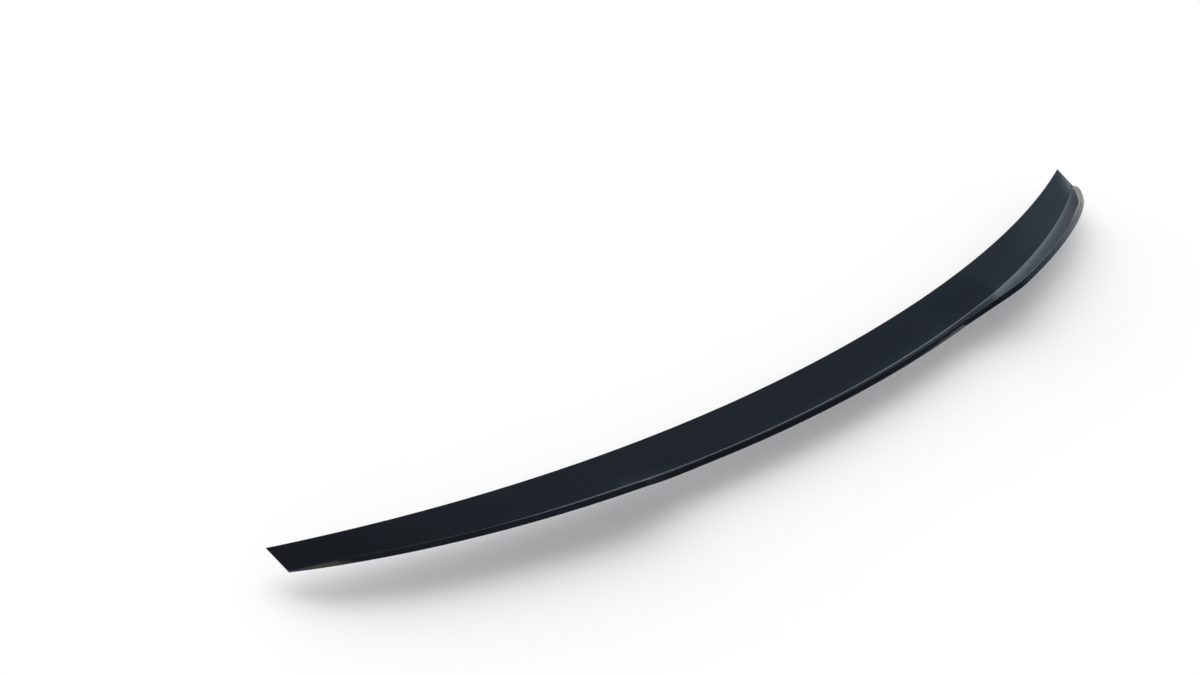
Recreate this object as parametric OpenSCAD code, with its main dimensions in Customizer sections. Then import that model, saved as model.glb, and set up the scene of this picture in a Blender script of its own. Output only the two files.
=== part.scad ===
// Stick-on rear spoiler for a saloon's boot lid.
// X runs across the car, +Y towards the front of the car, +Z up.
// The heel is the rear edge of the bond face. It lies in the plane Z = 0, and its middle is the origin.
// u is the distance from the car's centre plane as a share of half the width, 0 to 1.

/* [Overall] */
// Width of the spoiler across its tips
body_w = 1200; // [900:10:1400]
// Distance by which the heel ends short of the front corner at each tip
end_lean = 3; // [0:0.5:8]

/* [Heel line in plan] */
// Forward sweep of the heel at the tips, the even bow of the whole line
heel_bow = 102; // [60:1:140]
// Forward sweep that is added towards the tips, where the lid's corner turns
heel_hook = 20; // [0:1:40]

/* [Bond face] */
// Depth of the bond face at the middle, from heel to front edge
bond_depth = 46.8; // [38:0.2:60]
// Depth of the bond face at the tips
bond_depth_tip = 25.6; // [20:0.2:36]
// Height of the front edge above the heel at the middle
bond_rise = 10.2; // [6:0.2:14]
// Height of the front edge above the heel at the tips
bond_rise_tip = 12; // [8:0.2:16]
// Extra height of the front edge between the middle and the tips
bond_swell = 2.2; // [0:0.1:4]

/* [Front edge] */
// Distance by which the nose stands out in front of the bond face
nose_reach = 1.7; // [1:0.1:4]
// Height of the nose's top above the bond face
nose_up = 0.5; // [0.3:0.1:2]
// Depth of the thin rim that closes the joint, below the bond face
rim_drop = 0.7; // [0.2:0.1:1]

/* [Under-face] */
// Length of the under-face from the heel to the rear edge, in the middle third
under_len = 23.6; // [16:0.2:32]
// Length of the under-face at the wing's corner
under_len_wing = 46.4; // [34:0.2:60]
// Length that the wing has lost where its tip starts to round off
under_len_taper = 12; // [0:0.5:20]
// Length of the under-face that is left at the very tip
under_len_tip = 1.1; // [0.8:0.1:3]
// Slope of the under-face in the middle third, in degrees
under_tilt = 30.6; // [20:0.2:40]
// Slope of the under-face at the wing's corner
under_wing_tilt = 35.8; // [28:0.2:42]
// Slope of the under-face at the tips
under_tip_tilt = 31.6; // [24:0.2:40]

/* [Wings] */
// Distance from the centre plane at which the rear edge starts to climb
ramp_x = 194; // [150:1:230]
// Distance from the centre plane to the wing's corner
corner_x = 296; // [260:1:340]
// Steepness with which the climb arrives at the corner, 0 for level
ramp_slope = 1.7; // [0:0.1:2.4]
// Power that sets how late the tip rounds off, higher for later
tip_power = 7.5; // [4:0.5:14]
// Power that sets how blunt the rounded tip is, lower for blunter
tip_blunt = 0.8; // [0.5:0.05:1]

/* [Rear edge] */
// Width of the rear edge's face
edge_w = 6.2; // [4:0.1:9]
// Width of that face at the very tip
edge_w_tip = 1.5; // [1:0.1:3]
// Slope of that face in the middle third, in degrees, 90 for upright
edge_tilt = 64; // [50:1:80]
// Slope of that face on the wings
edge_wing_tilt = 33; // [24:1:50]
// Slope of that face at the very tip
edge_tip_tilt = 60; // [40:1:80]
// Power that sets how late the face narrows, higher for closer to the tip
edge_power = 15; // [8:1:24]

/* [Crease on top] */
// Distance of the crease behind the heel in the middle third
crease_back = 2.7; // [2:0.1:6]
// Distance of the crease behind the heel at the wing's corner
crease_back_wing = 7.1; // [4:0.1:10]
// Distance of the crease behind the heel where the tip starts to turn
crease_back_tip = 1.3; // [0.5:0.1:3]
// Forward turn of the crease at the very tip
crease_turn = 2.7; // [1:0.1:4]
// Height of the crease above the heel in the middle third
crease_h = 5; // [4:0.1:8]
// Height of the crease above the heel at the wing's corner
crease_h_wing = 9.8; // [7:0.1:12]
// Height of the crease above the heel at the tips
crease_h_tip = 2.5; // [2.2:0.1:4]
// Power that sets how late the crease comes down along the wing, 1 for evenly
crease_power = 1.25; // [1:0.05:3]
// Depth of the hollow in the top face between the nose and the crease
top_dish = 0.8; // [0:0.1:1.6]

/* [Edge rounding] */
// Cut-back of the rounding on the rear edge
edge_round = 0.9; // [0.3:0.1:2]
// Cut-back of the rounding on the crease
crease_round = 1.2; // [0.4:0.1:2.5]
// Cut-back of the rounding on the end edges
end_round = 0.35; // [0.1:0.05:0.5]

/* [Tape] */
// Bare margin of the bond face in front of the tape, in plan
tape_front_gap = 8; // [4:0.2:10]
// Bare margin of the bond face behind the tape at the middle, in plan
tape_heel_gap = 12.4; // [6:0.2:16]
// Bare margin of the bond face behind the tape at the tips, in plan
tape_heel_gap_tip = 6.6; // [4:0.2:8]
// Distance from the tape's ends to the spoiler's tips
tape_end_gap = 32; // [20:1:60]
// Thickness of the foam tape
tape_t = 1.1; // [0.6:0.1:2]
// Thickness of the release liner
liner_t = 0.2; // [0.1:0.05:0.4]

/* [Smoothness] */
// Sections in the middle third, on each side of the centre plane
mid_steps = 12; // [6:1:20]
// Sections along each climb
ramp_steps = 13; // [8:1:20]
// Sections along each wing
wing_steps = 18; // [10:1:28]
// Sections round each tip
tip_steps = 12; // [6:1:18]

/* [Hidden] */

half = body_w / 2;
tape_end = half - tape_end_gap;
// Width of the rim across each end of the bond face
end_rim_w = nose_reach;
// Share of the rim's width over which its inner wall falls
rim_wall_share = 0.2;
// Shares of the nose's reach at which the rim's foot starts and ends, and at which the nose's top starts
foot_in_share = 0.18;
foot_out_share = 0.7;
lip_share = 0.6;
// Largest share of a side that the rounding of its corner takes
round_share = 0.45;
round_steps = 3;
dish_steps = 8;
dish_power = 3;

gloss_black = [0.045, 0.05, 0.06];
foam_grey = [0.17, 0.17, 0.18];
liner_red = [0.86, 0.16, 0.2];

// Plain helpers
function mix(a, b, t) = a + (b - a) * t;
function reversed(list) = [for (i = [len(list) - 1:-1:0]) list[i]];
function unit(v) = v / norm(v);

// Corner b between a and c, rounded by a curve that leaves each side at the cut-back distance
function rounded(a, b, c, cut) =
    let (
        p = b + unit(a - b) * min(cut, norm(a - b) * round_share),
        q = b + unit(c - b) * min(cut, norm(c - b) * round_share)
    )
    [for (i = [0:round_steps]) let (t = i / round_steps) mix(mix(p, b, t), mix(b, q, t), t)];

// Places across the car at which the body's section is set out
mid_x = [for (i = [0:mid_steps - 1]) ramp_x * i / mid_steps];
climb_x = [for (i = [0:ramp_steps - 1]) mix(ramp_x, corner_x, i / ramp_steps)];
wing_x = [for (i = [0:wing_steps - 1]) mix(corner_x, tape_end, i / wing_steps)];
tip_x = [for (i = [0:tip_steps]) let (t = i / tip_steps) mix(tape_end, half - end_rim_w, 1 - (1 - t) * (1 - t))];
end_x = [half - end_rim_w * (1 - rim_wall_share), half - end_round, half];
tape_half_x = concat(mid_x, climb_x, wing_x, [tape_end]);
body_half_x = concat(mid_x, climb_x, wing_x, tip_x, end_x);
function both_sides(list) = concat([for (i = [len(list) - 1:-1:1]) -list[i]], list);

// Share of the climb done, 0 in the middle third and 1 from the corner outwards.
// It is the cubic that leaves level and arrives with the set slope, so its factors 3 and 2 aren't sizes.
function climb(x) =
    let (t = min(max((x - ramp_x) / (corner_x - ramp_x), 0), 1))
    (3 - ramp_slope) * pow(t, 2) + (ramp_slope - 2) * pow(t, 3);
// Share of the wing passed, 0 at the corner and 1 at the tip
function along_wing(x) = min(max((x - corner_x) / (half - corner_x), 0), 1);

// Heel line and bond face, as [y, z] at the distance x from the centre plane
function heel(x) = let (u = x / half) [heel_bow * pow(u, 2) + heel_hook * pow(u, 4), 0];
function front(x) =
    let (
        q = pow(x / half, 2),
        depth = mix(bond_depth, bond_depth_tip, q),
        rise = mix(bond_rise, bond_rise_tip, q) + 4 * bond_swell * q * (1 - q)
    )
    heel(x) + [depth, rise];
// Point of the bond face at the given distance in plan in front of the heel
function on_bond(x, ahead) =
    let (across = front(x) - heel(x))
    heel(x) + across * ahead / across[0];
// Unit normal of the bond face, pointing down and out of the body
function bond_normal(x) = let (d = unit(front(x) - heel(x))) [d[1], -d[0]];

// Lower and upper corner of the rear edge, and the crease on top
function under_len_at(x) =
    let (
        v = along_wing(x),
        wing = under_len_wing - under_len_taper * v,
        left = pow(1 - pow(v, tip_power), tip_blunt)
    )
    x < corner_x ? mix(under_len, under_len_wing, climb(x)) : mix(under_len_tip, wing, left);
function under_tilt_at(x) =
    mix(under_tilt, under_wing_tilt, climb(x)) + (under_tip_tilt - under_wing_tilt) * along_wing(x);
function edge_low(x) =
    heel(x) + under_len_at(x) * [-cos(under_tilt_at(x)), sin(under_tilt_at(x))];
function edge_high(x) =
    let (
        late = pow(along_wing(x), edge_power),
        w = mix(edge_w, edge_w_tip, late),
        tilt = mix(mix(edge_tilt, edge_wing_tilt, climb(x)), edge_tip_tilt, late)
    )
    edge_low(x) + w * [cos(tilt), sin(tilt)];
function crease(x) =
    let (
        v = pow(along_wing(x), crease_power),
        back = mix(mix(crease_back, crease_back_wing, climb(x)), crease_back_tip, v),
        turn = crease_turn * pow(along_wing(x), edge_power)
    )
    heel(x) + [turn - back, mix(mix(crease_h, crease_h_wing, climb(x)), crease_h_tip, v)];

// Margin behind the tape, and the tape's two edges in plan in front of the heel
function heel_gap(x) = mix(tape_heel_gap, tape_heel_gap_tip, pow(x / half, 2));
function tape_back(x) = on_bond(x, heel_gap(x));
function tape_front(x) = on_bond(x, front(x)[0] - heel(x)[0] - tape_front_gap);

// Share of the way from the heel forwards to the front edge, 0 from the heel back and 1 at the front
function ahead_share(x, y) =
    min(max((y - heel(x)[0]) / (front(x)[0] - heel(x)[0]), 0), 1);

// The rim across each end deepens from nothing at the heel to its full depth at the front
function on_end_rim(x) = x > half - end_rim_w * (1 - rim_wall_share / 2);
function sunk(x, p) =
    p + bond_normal(x) * (on_end_rim(x) ? rim_drop * ahead_share(x, p[0]) : 0);
// Share of the hollow's depth at the share t of the way from the crease to the nose, deepest near the crease
function dish_share(t) =
    let (deepest = 1 / (dish_power + 1))
    t * pow(1 - t, dish_power) / (deepest * pow(1 - deepest, dish_power));
// Height by which the faces draw in at the end edges
function end_pinch(x) = x > half - end_round / 2 ? end_round : 0;

// Closed section at x as [y, z] points, from the heel forwards along the bond face and back over the top
function section(x) =
    let (
        n = bond_normal(x),
        h = heel(x),
        f = front(x),
        low = edge_low(x),
        high = edge_high(x),
        top = crease(x),
        pinch = [0, end_pinch(x)],
        tb = sunk(x, tape_back(x)),
        tf = sunk(x, tape_front(x)),
        ft = sunk(x, f),
        rim_in = f + [nose_reach * foot_in_share, 0] + n * rim_drop,
        rim_out = f + [nose_reach * foot_out_share, 0] + n * rim_drop,
        nose = f + [nose_reach, 0],
        lip = f + [nose_reach * lip_share, nose_up],
        hollow = top_dish * (1 - pow(x / half, 2)),
        low_round = rounded(h, low, high, edge_round),
        high_round = rounded(low, high, top, edge_round),
        top_round = rounded(high, top, lip, crease_round),
        last = top_round[round_steps],
        roof = [for (i = [1:dish_steps - 1])
            let (t = i / dish_steps) mix(last, lip, t) - [0, hollow * dish_share(t)]]
    )
    concat(
        [for (p = [h, tb, tf, ft, rim_in, rim_out]) p + pinch],
        [nose],
        [lip - pinch],
        [for (p = reversed(roof)) p - pinch],
        [for (p = reversed(top_round)) p - pinch],
        reversed(high_round),
        reversed(low_round)
    );
// Point [y, z] of the section at x as a point in space, on the left or the right side.
// The ends lean: from the heel back they fall short of the tip, and the front corner reaches it.
function placed(x, p) =
    let (short = end_lean * (1 - ahead_share(abs(x), p[0])))
    [x * (1 - short / half), p[0], p[1]];

// Skin over equal rings of points from one end to the other, with a cap on the first and the last.
// Each four-cornered field is split along the diagonal that runs forwards and away from the centre plane,
// so fields of two pieces that share their corners also share their surface, and the halves mirror.
module loft(rings) {
    count = len(rings[0]);
    last = len(rings) - 1;
    points = [for (ring = rings, p = ring) p];
    skin = [for (i = [0:last - 1], j = [0:count - 1])
        let (
            k = (j + 1) % count,
            a = i * count + j,
            b = i * count + k,
            c = a + count,
            d = b + count,
            forwards = points[a][1] < points[b][1],
            outwards = i >= last / 2
        )
        each (forwards == outwards ? [[a, d, b], [a, c, d]] : [[a, c, b], [b, c, d]])];
    caps = [[for (j = [0:count - 1]) j], [for (j = [count - 1:-1:0]) last * count + j]];
    polyhedron(points = points, faces = concat(skin, caps), convexity = 6);
}

// Strip of even thickness on the bond face, from one depth below the face to another
module strip(from_t, to_t) {
    loft([for (x = both_sides(tape_half_x))
        let (
            s = abs(x),
            n = bond_normal(s),
            edges = [tape_back(s), tape_front(s), tape_front(s), tape_back(s)],
            depths = [from_t, from_t, to_t, to_t]
        )
        [for (i = [3:-1:0])
            let (seat = placed(x, edges[i]))
            seat + depths[i] * [0, n[0], n[1]]]]);
}

module spoiler_body() {
    color(gloss_black)
        loft([for (x = both_sides(body_half_x)) [for (p = section(abs(x))) placed(x, p)]]);
}

module foam_tape() {
    color(foam_grey) strip(0, tape_t);
}

module tape_liner() {
    color(liner_red) strip(tape_t, tape_t + liner_t);
}

spoiler_body();
foam_tape();
tape_liner();
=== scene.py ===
import math

import bmesh
import bpy
from mathutils import Matrix, Vector


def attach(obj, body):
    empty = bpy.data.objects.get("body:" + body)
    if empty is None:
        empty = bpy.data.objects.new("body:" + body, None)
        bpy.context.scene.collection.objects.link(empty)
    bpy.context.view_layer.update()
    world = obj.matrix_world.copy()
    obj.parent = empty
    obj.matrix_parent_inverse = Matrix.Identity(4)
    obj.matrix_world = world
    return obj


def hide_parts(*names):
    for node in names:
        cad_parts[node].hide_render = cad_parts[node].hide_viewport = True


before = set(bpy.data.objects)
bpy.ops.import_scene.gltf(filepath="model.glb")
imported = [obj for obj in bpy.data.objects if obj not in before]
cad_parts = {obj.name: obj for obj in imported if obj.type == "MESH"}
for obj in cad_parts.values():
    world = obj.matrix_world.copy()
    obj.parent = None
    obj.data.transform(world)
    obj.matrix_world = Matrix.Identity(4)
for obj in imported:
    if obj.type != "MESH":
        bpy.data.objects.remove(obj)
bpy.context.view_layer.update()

# Spoiler body: the one-piece lip that runs across the boot lid, low in the middle and kicked up outboard.
# It is injection moulded in black plastic and polished to a high gloss on every face that shows.
# The face that is bonded to the lid stays bare: dull grey plastic, keyed with fine cross ridges.
GLOSS_DARK = (0.0035, 0.0042, 0.0052, 1)
GLOSS_PALE = (0.0060, 0.0072, 0.0090, 1)
BARE_DARK = (0.235, 0.245, 0.255, 1)
BARE_PALE = (0.330, 0.340, 0.350, 1)
DUST_GREY = (0.19, 0.18, 0.17, 1)
SHARP_FROM = math.radians(40)
BOND_FOLD = math.radians(9)
CORNER_GAP = 1e-6
GLOSS_ROUGH = (0.045, 0.085)
SPECK_DULLING = 0.45
SWELL_HEIGHT = 0.0004
PEEL_HEIGHT = 0.00006
BARE_ROUGH = 0.62
RIDGE_PITCH = 0.0042
RIDGE_HEIGHT = 0.00008
BARE_GRAIN_HEIGHT = 0.00005
WAVES_PER_SCALE = 20 / (2 * math.pi)


def wire(tree, source, output, target, socket):
    """Link from one node's named output to another's named input."""
    tree.links.new(source.outputs[output], target.inputs[socket])


def add_node(tree, kind, **settings):
    """Shader node with its settings, such as a noise's type."""
    node = tree.nodes.new(kind)
    for name, value in settings.items():
        setattr(node, name, value)
    return node


def add_noise(tree, place, size, detail=2.0, roughness=0.5):
    """Soft noise whose blotches are about that size, in metres."""
    noise = add_node(tree, "ShaderNodeTexNoise")
    noise.inputs["Scale"].default_value = 1 / size
    noise.inputs["Detail"].default_value = detail
    noise.inputs["Roughness"].default_value = roughness
    tree.links.new(place, noise.inputs["Vector"])
    return noise.outputs["Fac"]


def add_range(tree, value, low, high, to_low=0.0, to_high=1.0):
    """Value that eases from to_low to to_high as the given one goes from low to high."""
    spread = add_node(tree, "ShaderNodeMapRange")
    spread.interpolation_type = "SMOOTHSTEP"
    for socket, number in zip(("From Min", "From Max", "To Min", "To Max"), (low, high, to_low, to_high)):
        spread.inputs[socket].default_value = number
    tree.links.new(value, spread.inputs["Value"])
    return spread.outputs["Result"]


def add_blend(tree, share, first, second):
    """Colour between two colours, or between sockets that give colours."""
    blend = add_node(tree, "ShaderNodeMix", data_type="RGBA")
    for socket, colour in (("A", first), ("B", second)):
        target = [s for s in blend.inputs if s.name == socket and s.type == "RGBA"][0]
        if isinstance(colour, tuple):
            target.default_value = colour
        else:
            tree.links.new(colour, target)
    tree.links.new(share, blend.inputs["Factor"])
    return [s for s in blend.outputs if s.type == "RGBA"][0]


def add_bump(tree, height, strength, distance, under=None):
    """Normal bent by a height, in metres at full strength, on top of the one under it."""
    bump = add_node(tree, "ShaderNodeBump")
    bump.inputs["Strength"].default_value = strength
    bump.inputs["Distance"].default_value = distance
    tree.links.new(height, bump.inputs["Height"])
    if under is not None:
        tree.links.new(under, bump.inputs["Normal"])
    return bump.outputs["Normal"]


def new_finish(name, roughness, sheen=0.0):
    """Material with its shader, and the object coordinates that its pattern reads."""
    finish = bpy.data.materials.new(name)
    finish.use_nodes = True
    tree = finish.node_tree
    shader = tree.nodes["Principled BSDF"]
    shader.inputs["Roughness"].default_value = roughness
    shader.inputs["Sheen Weight"].default_value = sheen
    place = add_node(tree, "ShaderNodeTexCoord").outputs["Object"]
    return finish, tree, shader, place


def new_effect(name, outputs, **inputs):
    """Shader group for an effect that several finishes share."""
    effect = bpy.data.node_groups.new(name, "ShaderNodeTree")
    effect.interface.new_socket("Place", in_out="INPUT", socket_type="NodeSocketVector")
    for socket, value in inputs.items():
        made = effect.interface.new_socket(socket, in_out="INPUT", socket_type="NodeSocketFloat")
        made.default_value = value
    for socket in outputs:
        effect.interface.new_socket(socket, in_out="OUTPUT", socket_type="NodeSocketFloat")
    return effect, effect.nodes.new("NodeGroupInput"), effect.nodes.new("NodeGroupOutput")


def use_effect(tree, effect, place, **inputs):
    """Shared effect placed in one finish, with that finish's own values."""
    group = add_node(tree, "ShaderNodeGroup")
    group.node_tree = effect
    tree.links.new(place, group.inputs["Place"])
    for socket, value in inputs.items():
        group.inputs[socket].default_value = value
    return group


# Dust that settles on the gloss, the bare face and the liner: sparse specks, each a dot of its own size.
settled_dust, dust_in, dust_out = new_effect("settled_dust", ["Mask"], Spacing=150.0, Speck=0.08)
dots = add_node(settled_dust, "ShaderNodeTexVoronoi", feature="F1")
wire(settled_dust, dust_in, "Place", dots, "Vector")
wire(settled_dust, dust_in, "Spacing", dots, "Scale")
speck_size = add_node(settled_dust, "ShaderNodeSeparateColor")
wire(settled_dust, dots, "Color", speck_size, "Color")
own_size = add_node(settled_dust, "ShaderNodeMath", operation="MULTIPLY")
wire(settled_dust, speck_size, "Red", own_size, 0)
wire(settled_dust, dust_in, "Speck", own_size, 1)
inside = add_node(settled_dust, "ShaderNodeMath", operation="LESS_THAN")
wire(settled_dust, dots, "Distance", inside, 0)
wire(settled_dust, own_size, "Value", inside, 1)
wire(settled_dust, inside, "Value", dust_out, "Mask")

# Grain that moulded and extruded faces share: two sizes of fine unevenness added up.
fine_grain, grain_in, grain_out = new_effect("fine_grain", ["Height"], Coarse=900.0, Fine=3200.0, Share=0.5)
coarse = add_node(fine_grain, "ShaderNodeTexNoise")
finer = add_node(fine_grain, "ShaderNodeTexNoise")
for grain, socket in ((coarse, "Coarse"), (finer, "Fine")):
    wire(fine_grain, grain_in, "Place", grain, "Vector")
    wire(fine_grain, grain_in, socket, grain, "Scale")
both = add_node(fine_grain, "ShaderNodeMix", data_type="FLOAT")
wire(fine_grain, grain_in, "Share", both, "Factor")
wire(fine_grain, coarse, "Fac", both, "A")
wire(fine_grain, finer, "Fac", both, "B")
wire(fine_grain, both, "Result", grain_out, "Height")


def smooth_copy(node, name):
    """Copy of a moulded solid with its corners merged, smooth apart from its folds."""
    mesh = bpy.data.meshes.new(name)
    solid = bmesh.new()
    solid.from_mesh(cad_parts[node].data)
    bmesh.ops.remove_doubles(solid, verts=solid.verts, dist=CORNER_GAP)
    bmesh.ops.recalc_face_normals(solid, faces=solid.faces)
    for face in solid.faces:
        face.smooth = True
        face.material_index = 0
    for edge in solid.edges:
        edge.smooth = edge.calc_face_angle() < SHARP_FROM
    return mesh, solid


body_mesh, body_solid = smooth_copy("spoiler_body", "gloss_spoiler")
# The bond face is all that joins on to its lowest middle facet without a fold.
bonded = [min((f for f in body_solid.faces if f.normal.z < -0.9 and f.normal.y > 0.1),
              key=lambda f: f.calc_center_median().length)]
bonded[0].material_index = 1
for face in bonded:
    for edge in face.edges:
        for other in edge.link_faces:
            if other.material_index == 0 and edge.calc_face_angle() < BOND_FOLD:
                other.material_index = 1
                bonded.append(other)
for edge in {e for f in bonded for e in f.edges}:
    if len({f.material_index for f in edge.link_faces}) == 2:
        edge.smooth = False
body_solid.to_mesh(body_mesh)
body_solid.free()
if "custom_normal" in body_mesh.attributes:
    body_mesh.attributes.remove(body_mesh.attributes["custom_normal"])
spoiler = bpy.data.objects.new("gloss_spoiler", body_mesh)
bpy.context.scene.collection.objects.link(spoiler)
flatten = spoiler.modifiers.new("even_shading", "WEIGHTED_NORMAL")
flatten.keep_sharp = True
flatten.weight = 60

# Gloss: slow drifts of tone, wiped streaks that change the polish, a slight swell and fine orange peel.
gloss, tree, shader, place = new_finish("gloss_black_plastic", sum(GLOSS_ROUGH) / 2)
shader.inputs["IOR"].default_value = 1.5
dust = use_effect(tree, settled_dust, place, Spacing=160.0, Speck=0.035).outputs["Mask"]
flow = add_noise(tree, place, 0.11, detail=1.0)
tint = add_blend(tree, flow, GLOSS_DARK, GLOSS_PALE)
tree.links.new(add_blend(tree, dust, tint, DUST_GREY), shader.inputs["Base Color"])
wiped = add_range(tree, add_noise(tree, place, 0.045, detail=3.0), 0.35, 0.7, *GLOSS_ROUGH)
dulled = add_node(tree, "ShaderNodeMath", operation="MULTIPLY_ADD")
dulled.inputs[1].default_value = SPECK_DULLING
tree.links.new(dust, dulled.inputs[0])
tree.links.new(wiped, dulled.inputs[2])
wire(tree, dulled, "Value", shader, "Roughness")
swell = add_bump(tree, add_noise(tree, place, 0.05, detail=0.0), 0.25, SWELL_HEIGHT)
peel = use_effect(tree, fine_grain, place, Coarse=330.0, Fine=900.0, Share=0.3).outputs["Height"]
tree.links.new(add_bump(tree, peel, 0.12, PEEL_HEIGHT, swell), shader.inputs["Normal"])
body_mesh.materials.append(gloss)

# Bare face: mottled grey grain, crossed by fine ridges that give the tape a hold; the grey carries painted
# shade in the ridge troughs and a painted highlight on the crests.
bare, tree, shader, place = new_finish("bare_bond_face", BARE_ROUGH)
shader.inputs["Specular IOR Level"].default_value = 0.4
ridges = add_node(tree, "ShaderNodeTexWave", wave_type="BANDS", bands_direction="X", wave_profile="SIN")
ridges.inputs["Scale"].default_value = 1 / (RIDGE_PITCH * WAVES_PER_SCALE)
ridges.inputs["Distortion"].default_value = 0.6
ridges.inputs["Detail"].default_value = 1.0
tree.links.new(place, ridges.inputs["Vector"])
grain = use_effect(tree, fine_grain, place, Coarse=700.0, Fine=2600.0, Share=0.5).outputs["Height"]
mottle = add_range(tree, grain, 0.3, 0.7)
tone = add_blend(tree, mottle, BARE_DARK, BARE_PALE)
# Painted shade and highlight: the ridge relief darkens the grey in the troughs and lightens it on the
# crests.
ridge_shaded_tone = add_node(tree, "ShaderNodeHueSaturation")
tree.links.new(tone, ridge_shaded_tone.inputs["Color"])
tree.links.new(add_range(tree, ridges.outputs["Fac"], 0.0, 1.0, 0.9, 1.04), ridge_shaded_tone.inputs["Value"])
dust = use_effect(tree, settled_dust, place, Spacing=220.0, Speck=0.1).outputs["Mask"]
tree.links.new(add_blend(tree, dust, ridge_shaded_tone.outputs["Color"], DUST_GREY), shader.inputs["Base Color"])
combed = add_bump(tree, ridges.outputs["Fac"], 0.5, RIDGE_HEIGHT)
tree.links.new(add_bump(tree, grain, 0.5, BARE_GRAIN_HEIGHT, combed), shader.inputs["Normal"])
body_mesh.materials.append(bare)
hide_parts("spoiler_body")
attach(spoiler, "root")

# Foam tape: the mounting strip, 1.1 mm thick, stuck to the bond face with a bare margin on each side.
# It is dark grey closed-cell acrylic foam, cut from sheet, so its cells show along the cut edges, with
# painted shade in the hollow of each cell.
FOAM_PORE_SHADE = (0.028, 0.028, 0.031, 1)
FOAM_PALE = (0.066, 0.066, 0.071, 1)
FOAM_ROUGH = 0.88
FOAM_CELLS_PER_M = 2600.0
PORE_DEPTH = 0.00012
FOAM_GRAIN_HEIGHT = 0.00006
foam, tree, shader, place = new_finish("closed_cell_foam", FOAM_ROUGH, sheen=0.15)
cells = add_node(tree, "ShaderNodeTexVoronoi", feature="SMOOTH_F1")
cells.inputs["Scale"].default_value = FOAM_CELLS_PER_M
cells.inputs["Smoothness"].default_value = 0.6
tree.links.new(place, cells.inputs["Vector"])
grain = use_effect(tree, fine_grain, place, Coarse=500.0, Fine=1800.0, Share=0.4).outputs["Height"]
# Painted shade: the grey darkens towards each cell's middle, where the pore bump dips, and is palest on the
# cell walls.
pore_shaded_tone = add_blend(tree, add_range(tree, cells.outputs["Distance"], 0.1, 0.8), FOAM_PORE_SHADE, FOAM_PALE)
worn = add_node(tree, "ShaderNodeHueSaturation")
tree.links.new(pore_shaded_tone, worn.inputs["Color"])
tree.links.new(add_range(tree, grain, 0.3, 0.7, 0.85, 1.15), worn.inputs["Value"])
tree.links.new(worn.outputs["Color"], shader.inputs["Base Color"])
pores = add_bump(tree, cells.outputs["Distance"], 0.7, PORE_DEPTH)
tree.links.new(add_bump(tree, grain, 0.4, FOAM_GRAIN_HEIGHT, pores), shader.inputs["Normal"])
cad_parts["foam_tape"].material_slots[0].material = foam

# Release liner: the red film that covers the tape's glue until the spoiler is fitted.
# It is thin extruded polythene with a satin face, faint draw lines along it and a few soft scuffs.
# Its red stays off the floor, as in the photograph, so diffuse rays don't see it.
LINER_RED = (0.800, 0.058, 0.080, 1)
LINER_DEEP = (0.640, 0.036, 0.056, 1)
LINER_SCUFF = (0.860, 0.190, 0.200, 1)
FILM_ROUGH = (0.30, 0.46)
DRAW_STRETCH = 0.03
DRAW_DEPTH = 0.00005
SCUFF_SIZE = 0.004
film, tree, shader, place = new_finish("red_release_film", sum(FILM_ROUGH) / 2)
shader.inputs["IOR"].default_value = 1.5
along = add_node(tree, "ShaderNodeMapping")
along.inputs["Scale"].default_value = (DRAW_STRETCH, 1, 1)
tree.links.new(place, along.inputs["Vector"])
drawn = along.outputs["Vector"]
draw = use_effect(tree, fine_grain, drawn, Coarse=420.0, Fine=1500.0, Share=0.5).outputs["Height"]
depth = add_range(tree, add_noise(tree, place, 0.06, detail=3.0), 0.35, 0.75)
film_red = add_blend(tree, depth, LINER_RED, LINER_DEEP)
rubbed = add_noise(tree, drawn, SCUFF_SIZE, detail=4.0, roughness=0.7)
scuffs = add_range(tree, rubbed, 0.62, 0.8, 0.0, 0.5)
scuffed = add_blend(tree, scuffs, film_red, LINER_SCUFF)
dust = use_effect(tree, settled_dust, place, Spacing=180.0, Speck=0.06).outputs["Mask"]
tree.links.new(add_blend(tree, dust, scuffed, DUST_GREY), shader.inputs["Base Color"])
tree.links.new(add_range(tree, draw, 0.3, 0.7, *FILM_ROUGH), shader.inputs["Roughness"])
tree.links.new(add_bump(tree, draw, 0.3, DRAW_DEPTH), shader.inputs["Normal"])
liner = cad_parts["tape_liner"]
liner.material_slots[0].material = film
liner.visible_diffuse = False

# Floor: a plain white studio floor, wide enough to fill the view.
# It lies a little below the heel, because the photograph's soft shadow is offset from the object.
FLOOR_WHITE = (0.93, 0.93, 0.935, 1)
FLOOR_RADIUS = 14
FLOOR_DROP = 0.024
floor_mesh = bpy.data.meshes.new("studio_floor")
sweep = bmesh.new()
lowered = Matrix.Translation((0, 0, -FLOOR_DROP))
bmesh.ops.create_circle(sweep, cap_ends=True, segments=64, radius=FLOOR_RADIUS, matrix=lowered)
sweep.to_mesh(floor_mesh)
sweep.free()
floor = bpy.data.objects.new("studio_floor", floor_mesh)
bpy.context.scene.collection.objects.link(floor)
paint, tree, shader, place = new_finish("white_floor", 1.0)
shader.inputs["Specular IOR Level"].default_value = 0.0
shader.inputs["Base Color"].default_value = FLOOR_WHITE
floor_mesh.materials.append(paint)

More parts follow.
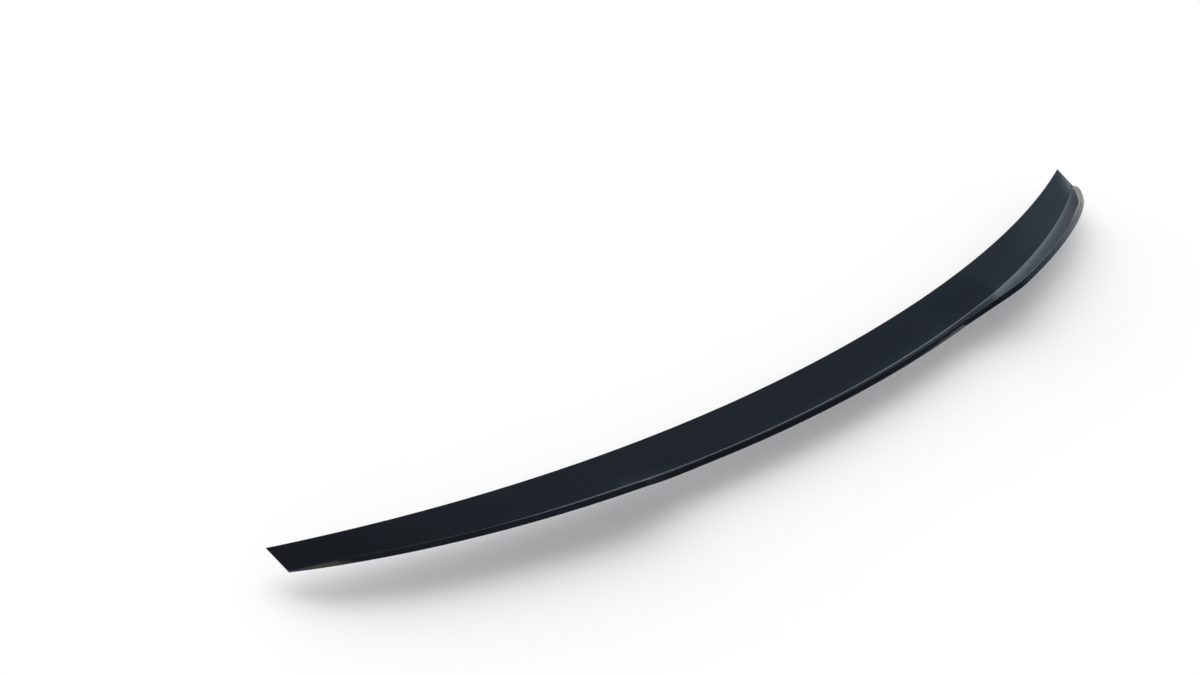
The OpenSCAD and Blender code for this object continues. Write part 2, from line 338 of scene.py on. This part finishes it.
# Studio light: a soft key from the front and right, and a very wide fill from above. The gloss reflects a
# room with a white horizon, dim walls and ceiling, a pale lamp and board, and a warm window at the rear
# left that catches the left tip. A dark cloth at the rear right keeps the rear edge black.
KEY_FROM = (0.33, 0.42, 0.845)
KEY_STRENGTH = 1.4
KEY_SOFTNESS = math.radians(88)
FILL_FROM = (0, 0, 1)
FILL_STRENGTH = 1.45
FILL_SOFTNESS = math.radians(170)
LAMP_TINT = (1.0, 0.955, 0.89)
HORIZON = (1.03, 1.02, 1.00, 1)
WALL_LIT = (0.89, 1.03, 1.18, 1)
WALL_DIM = (0.180, 0.246, 0.332, 1)
CEILING = (0.106, 0.147, 0.209, 1)
CEILING_TOP = (0.140, 0.175, 0.235, 1)
# Heights over which one part of the room eases into the next: 0 is the horizon and 1 straight up.
HORIZON_TO_LIT = (0.05, 0.19)
LIT_TO_DIM = (0.19, 0.42)
DIM_TO_CEILING = (0.46, 0.74)
CEILING_TO_TOP = (0.74, 1.0)
# Soft round patches: colour, direction, and the angles in degrees at which each starts and ends to fade.
CLOTH = ((0.075, 0.085, 0.100, 1), (0.707, -0.707, 0.0), 22, 50)
LAMP = ((0.175, 0.225, 0.295, 1), (0.551, 0.331, 0.766), 3, 19)
BOARD = ((0.235, 0.325, 0.425, 1), (0.882, 0.236, 0.407), 2, 10)
WINDOW = ((1.15, 1.02, 0.80, 1), (-0.726, -0.419, 0.545), 8, 24)
for name, source, strength, softness in (
    ("key", KEY_FROM, KEY_STRENGTH, KEY_SOFTNESS),
    ("fill", FILL_FROM, FILL_STRENGTH, FILL_SOFTNESS),
):
    lamp = bpy.data.lights.new(name, "SUN")
    lamp.energy = strength
    lamp.angle = softness
    lamp.color = LAMP_TINT
    lamp_object = bpy.data.objects.new(name, lamp)
    lamp_object.rotation_euler = Vector(source).to_track_quat("Z", "Y").to_euler()
    lamp_object.visible_glossy = False
    bpy.context.scene.collection.objects.link(lamp_object)


def add_band(tree, height, eases, below, above):
    """Colour of the room that eases from one to the other between two heights."""
    return add_blend(tree, add_range(tree, height, *eases), below, above)


def add_patch(tree, towards, behind, colour, facing, inner, outer):
    """Round patch over the room behind it: full within the inner angle, gone past the outer one."""
    cosine = add_node(tree, "ShaderNodeVectorMath", operation="DOT_PRODUCT")
    cosine.inputs[1].default_value = Vector(facing).normalized()
    tree.links.new(towards, cosine.inputs[0])
    edge, core = math.cos(math.radians(outer)), math.cos(math.radians(inner))
    return add_blend(tree, add_range(tree, cosine.outputs["Value"], edge, core), behind, colour)


room = bpy.data.worlds.new("studio_room")
bpy.context.scene.world = room
room.use_nodes = True
tree = room.node_tree
towards = add_node(tree, "ShaderNodeTexCoord").outputs["Generated"]
parted = add_node(tree, "ShaderNodeSeparateXYZ")
tree.links.new(towards, parted.inputs["Vector"])
height = parted.outputs["Z"]
horizon = add_band(tree, height, HORIZON_TO_LIT, HORIZON, WALL_LIT)
walls = add_band(tree, height, LIT_TO_DIM, horizon, WALL_DIM)
roof = add_band(tree, height, CEILING_TO_TOP, CEILING, CEILING_TOP)
seen = add_band(tree, height, DIM_TO_CEILING, walls, roof)
for patch in (CLOTH, LAMP, BOARD, WINDOW):
    seen = add_patch(tree, towards, seen, *patch)
tree.links.new(seen, tree.nodes["Background"].inputs["Color"])

# Camera: behind the car's left rear corner and above the lid, as the photograph is taken.
# Its place, turn and focal length come from the fit of the outlines, so the render lies over the picture.
CAMERA_AT = (-1.56892, -1.08172, 1.14964)
CAMERA_RIGHT = (0.69643, -0.71399, 0.07214)
CAMERA_VIEW = (0.64296, 0.57617, -0.50462)
LENS_LENGTH = 66.8
FAR_LIMIT = 60
lens = bpy.data.cameras.new("camera")
lens.lens = LENS_LENGTH
lens.clip_end = FAR_LIMIT
right = Vector(CAMERA_RIGHT).normalized()
back = -Vector(CAMERA_VIEW).normalized()
camera = bpy.data.objects.new("camera", lens)
turned = Matrix((right, back.cross(right), back)).transposed().to_4x4()
camera.matrix_world = Matrix.Translation(CAMERA_AT) @ turned
bpy.context.scene.collection.objects.link(camera)
bpy.context.scene.camera = camera
bpy.context.scene.view_settings.view_transform = "Standard"
